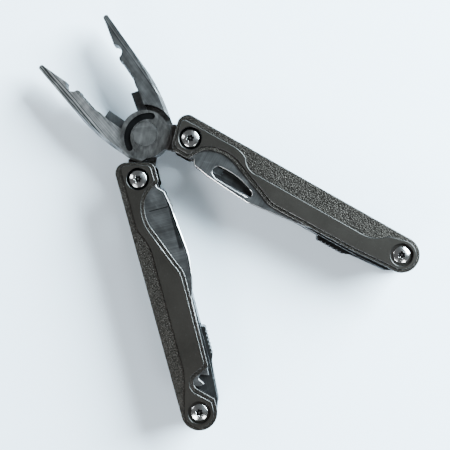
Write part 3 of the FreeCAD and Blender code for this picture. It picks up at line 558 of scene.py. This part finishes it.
def scaleChooser(handle, top, up):
    # 0 raised band, 1 recess floor, 2 sides, 3 walls of the screw wells
    floor = top - up * scaleLook["bandRise"] * mm
    near = 0.05 * mm

    def choose(centre, normal):
        facing = normal.z * up
        place = handle.inside(centre)
        axle = 0.0 if place.x < handle.spacing / 2 else handle.spacing
        if facing < 0.5 and math.hypot(place.x - axle, place.y) < scaleLook["wellRadius"] * mm:
            return 3
        if facing > 0.8 and abs(centre.z - top) < near:
            return 0
        if facing > 0.8 and abs(centre.z - floor) < near:
            return 1
        return 2

    return choose


# how far the corners of the pieces that have no width of their own are rounded
corner = {"channel": 0.2, "rocker": 0.15, "casting": 0.16, "rivet": 0.05, "tool": 0.12}

for hand in handles:
    for level, upward in (("top", 1), ("bottom", -1)):
        node = hand + "_" + level + "_scale"
        low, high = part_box(node)
        choose = scaleChooser(handles[hand], high.z if upward > 0 else low.z, upward)
        materials = [coat["band"], steel[hand + "Recess"], coat["side"], coat["well"]]
        bevelledCopy(node, node + "_cover", materials, scaleLook["edgeWidth"], choose, steel[hand + "Rim"])
    sheet = [steel[hand + "Channel"]]
    bevelledCopy(hand + "_channel", hand + "_channel_body", sheet, corner["channel"], None, steel["edge"])
    bar = [steel["rocker"]]
    bevelledCopy(hand + "_lock_rocker", hand + "_rocker_bar", bar, corner["rocker"], None, steel["rocker"])
print("handles covered")


def jawChooser(node):
    # 0 nose and disc, 1 arc slot, 2 cutter tab, 3 teeth side, 4 outer facets
    look = headLook
    slotFloor = headTop / mm - look["slotDepth"]
    near = 0.1

    def choose(centre, normal):
        across, ahead = (centre.x - plierPivot.x) / mm, (centre.y - plierPivot.y) / mm
        level = abs(centre.z - midHeight) / mm
        reach = math.hypot(across, ahead)
        tilt = abs(normal.z)
        flat, upright = tilt > 0.9, tilt < 0.3
        if flat and abs(level - slotFloor) < near and reach < look["slotReach"]:
            return 1
        if upright and level > slotFloor - near and reach < look["slotWallReach"]:
            return 1
        if flat and level < look["tabHeight"] and ahead > look["tabFrom"]:
            return 2
        if upright and ahead > look["teethFrom"] and normal.x * look["side"][node] < 0.3:
            return 3
        if 0.35 < tilt < 0.9:
            return 4
        return 0

    return choose


for node in ("jaw_back", "jaw_front"):
    parts = [steel[node], steel["slot"], steel["tab"], steel["teeth"], steel[node + "Facet"]]
    bevelledCopy(node, node + "_casting", parts, corner["casting"], jawChooser(node), steel[node + "Edge"])
# the rivet's rounded edge takes the near-black tooth steel: painted shade in place of its highlight
bevelledCopy("plier_pivot", "plier_rivet", [steel["rivet"]], corner["rivet"], None, steel["teeth"])
print("plier head made")

for node, hand in (
    ("knife_blade", "right"), ("saw_blade", "right"), ("serrated_blade", "left"), ("file_blade", "left"),
):
    width = bladeLook[hand]["edgeWidth"]
    bevelledCopy(node, node + "_steel", [steel[hand + "Blade"]], width, None, steel[hand + "BladeEdge"])
for node, hand in (
    ("large_bit_driver", "right"), ("small_bit_driver", "right"), ("can_bottle_opener", "left"),
    ("scissors_fixed_blade", "left"), ("scissors_moving_blade", "left"), ("medium_screwdriver", "left"),
):
    bevelledCopy(node, node + "_steel", [steel[hand + "Tool"]], corner["tool"], None, steel["edge"])
for node in ("large_bit", "small_bit"):
    bevelledCopy(node, node + "_steel", [steel["bit"]], corner["tool"])
print("blades and tools made")

screwLook = {
    "radius": 3.2, "height": 0.85, "crown": 0.72, "edgeRound": 0.4, "columns": 96,
    "star": 1.2, "starWave": 0.22, "starDepth": 0.55, "starRings": (2, 4),
    "pin": 0.38, "pinHeight": 0.4, "turn": 0.35, "turnPerMetre": 20,
}


def screwSurface():
    # Polar grid: angle round the axis, and a profile of rings from the centre to the rim and down.
    # The head's height falls with the square of the radius, and the star's wall follows
    # radius + wave * cos(6 angle).
    look = screwLook
    angle = np.linspace(0, 2 * math.pi, look["columns"], endpoint=False)
    star = look["star"] + look["starWave"] * np.cos(6 * angle)
    floor = look["height"] - look["starDepth"]

    def dome(r):
        return look["height"] - look["crown"] * (r / look["radius"]) ** 2

    pin, pinTop = look["pin"], floor + look["pinHeight"]
    rings = [(1e-4, pinTop), (pin * 0.8, pinTop), (pin, floor + 0.3), (pin, floor)]
    rings += [(star, floor), (star, dome(star) - 0.06), (star + 0.07, dome(star + 0.07))]
    lip = look["radius"] - look["edgeRound"]
    rings += [(r, dome(r)) for r in (1.8, 2.1, 2.4, lip)]
    for step in (25, 50, 75, 90):
        sweep = math.radians(step)
        drop = look["edgeRound"] * (1 - math.cos(sweep))
        rings.append((lip + look["edgeRound"] * math.sin(sweep), dome(lip) - drop))
    rings += [(look["radius"], 0.0), (1e-4, 0.0)]
    points = []
    for r, z in rings:
        points.append(np.stack(np.broadcast_arrays(r * np.cos(angle), r * np.sin(angle), z), axis=1))
    return np.stack(points)


def gridFaces(rows, columns):
    # quads of a grid whose columns wrap round
    row, column = np.meshgrid(np.arange(rows - 1), np.arange(columns), indexing="ij")
    after = (column + 1) % columns
    here, below = row * columns, (row + 1) * columns
    quads = [here + column, below + column, below + after, here + after]
    return np.stack(quads, axis=-1).reshape(-1, 4)


def meshPiece(name, points, faces, materials, faceMaterial, sharpAbove=35):
    mesh = bpy.data.meshes.new(name)
    mesh.from_pydata(points.tolist(), [], faces.tolist())
    for material in materials:
        mesh.materials.append(material)
    mesh.polygons.foreach_set("material_index", faceMaterial.astype(np.int32))
    surface = bmesh.new()
    surface.from_mesh(mesh)
    bmesh.ops.remove_doubles(surface, verts=surface.verts, dist=1e-6)
    bmesh.ops.recalc_face_normals(surface, faces=surface.faces)
    surface.to_mesh(mesh)
    surface.free()
    mesh.shade_smooth()
    mesh.set_sharp_from_angle(angle=math.radians(sharpAbove))
    piece = addObject(name, mesh)
    return piece


screwGrid = screwSurface()
rows, columns = screwGrid.shape[:2]
screwFaces = gridFaces(rows, columns)
ringOfFace = np.repeat(np.arange(rows - 1), columns)
for hand, handle in handles.items():
    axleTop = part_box(hand + "_tool_axle")[1].z - midHeight
    firstRing, lastRing = screwLook["starRings"]
    points, faces, shade = [], [], []
    for u in (0.0, handle.spacing):
        for up in (1, -1):
            turn = screwLook["turn"] + u * screwLook["turnPerMetre"]
            cosine, sine = math.cos(turn), math.sin(turn)
            spin = np.array([[cosine, -sine, 0], [sine, cosine, 0], [0, 0, 1]])
            local = screwGrid.reshape(-1, 3) @ spin.T * mm
            local = local * np.array([1, up, up]) + np.array([u, 0, up * axleTop])
            faces.append(screwFaces + len(points) * rows * columns)
            points.append(handle.outside(local))
            # the star's walls and floor take the near-black recess steel: painted shade
            shade.append(((ringOfFace >= firstRing) & (ringOfFace <= lastRing)).astype(int))
    piece = meshPiece(
        hand + "_star_screws", np.concatenate(points), np.concatenate(faces),
        [steel["screw"], steel["recess"]], np.concatenate(shade),
    )
    settle(piece, hand + "_screws")
print("screws made")

# the small pieces show their own meshes, in the finish of their kind
plain = {
    "plier_axle": "axle", "tool_axle": "axle", "rocker_spring": "spring", "rocker_pin": "axle",
    "spacer": "axle", "scissors_rivet": "axle", "scissors_spring": "spring",
}
for name, piece in nodes.items():
    for key, finish in plain.items():
        if key in name:
            piece.data.materials.clear()
            piece.data.materials.append(steel[finish])

# pale floor, soft light from the upper right, and the camera straight above
floorLook = {"reach": 1.2, "colour": (0.77, 0.865, 0.95, 1), "rough": 0.8}
floorMaterial, floorWire = newMaterial("paleFloor")
floorShader = floorWire.node("ShaderNodeBsdfPrincipled", None, {
    "Base Color": floorLook["colour"], "Roughness": floorLook["rough"],
})
floorWire.node("ShaderNodeOutputMaterial", None, {"Surface": floorShader})
floorMesh = bpy.data.meshes.new("floor")
reach = floorLook["reach"]
floorMesh.from_pydata(
    [(-reach, -reach, 0), (reach, -reach, 0), (reach, reach, 0), (-reach, reach, 0)], [], [(0, 1, 2, 3)]
)
floorMesh.materials.append(floorMaterial)
addObject("floor", floorMesh)

view = {"centre": (2.63, -17.02), "roll": 37.92, "height": 410.0, "fieldWidth": 163.8, "level": 19.65}
rollTurn = math.radians(view["roll"])
camera = bpy.data.cameras.new("camera")
camera.angle = 2 * math.atan(view["fieldWidth"] / 2 / (view["height"] - view["level"]))
cameraPiece = addObject("camera", camera)
cameraPiece.location = (view["centre"][0] * mm, view["centre"][1] * mm, view["height"] * mm)
cameraPiece.rotation_euler = (0, 0, -rollTurn)
bpy.context.scene.camera = cameraPiece

rightWay = Vector((math.cos(-rollTurn), math.sin(-rollTurn), 0))
upWay = Vector((-math.sin(-rollTurn), math.cos(-rollTurn), 0))
coolLight, paleLight = (0.74, 0.91, 1), (0.92, 0.97, 1)
lights = {
    "keyBox": {"right": 0.82, "up": 0.5, "height": 0.5, "size": 0.85, "power": 178.0, "colour": coolLight},
    "leftBox": {"right": -0.75, "up": 0.28, "height": 0.75, "size": 0.26, "power": 3.5, "colour": paleLight},
    "lowBox": {"right": -0.45, "up": -0.72, "height": 0.75, "size": 0.4, "power": 10.0, "colour": paleLight},
    "frontBox": {"right": 0.45, "up": -0.7, "height": 0.75, "size": 0.26, "power": 3.5, "colour": paleLight},
}
for name, look in lights.items():
    # a square area light aimed at the middle of the tool, placed as seen from the camera
    light = bpy.data.lights.new(name, "AREA")
    light.shape = "SQUARE"
    light.size = look["size"]
    light.energy = look["power"]
    light.color = look["colour"]
    piece = addObject(name, light)
    piece.location = rightWay * look["right"] + upWay * look["up"] + Vector((0, 0, look["height"]))
    piece.rotation_euler = (-piece.location).to_track_quat("-Z", "Y").to_euler()

# the room is bright near the horizon and dim overhead
roomLook = {"horizon": 0.6, "overhead": 0.13, "colour": (0.97, 0.985, 1.0, 1)}
world = bpy.data.worlds.new("studio")
world.use_nodes = True
world.node_tree.nodes.clear()
roomWire = Wire(world.node_tree)
lift = roomWire.node("ShaderNodeTexCoord", output=0).split()[2].between(0.0, 0.75)
strength = roomLook["horizon"] - lift * (roomLook["horizon"] - roomLook["overhead"])
room = roomWire.node("ShaderNodeBackground", None, {"Color": roomLook["colour"], "Strength": strength})
roomWire.node("ShaderNodeOutputWorld", None, {"Surface": room})
bpy.context.scene.world = world
print("stage made")
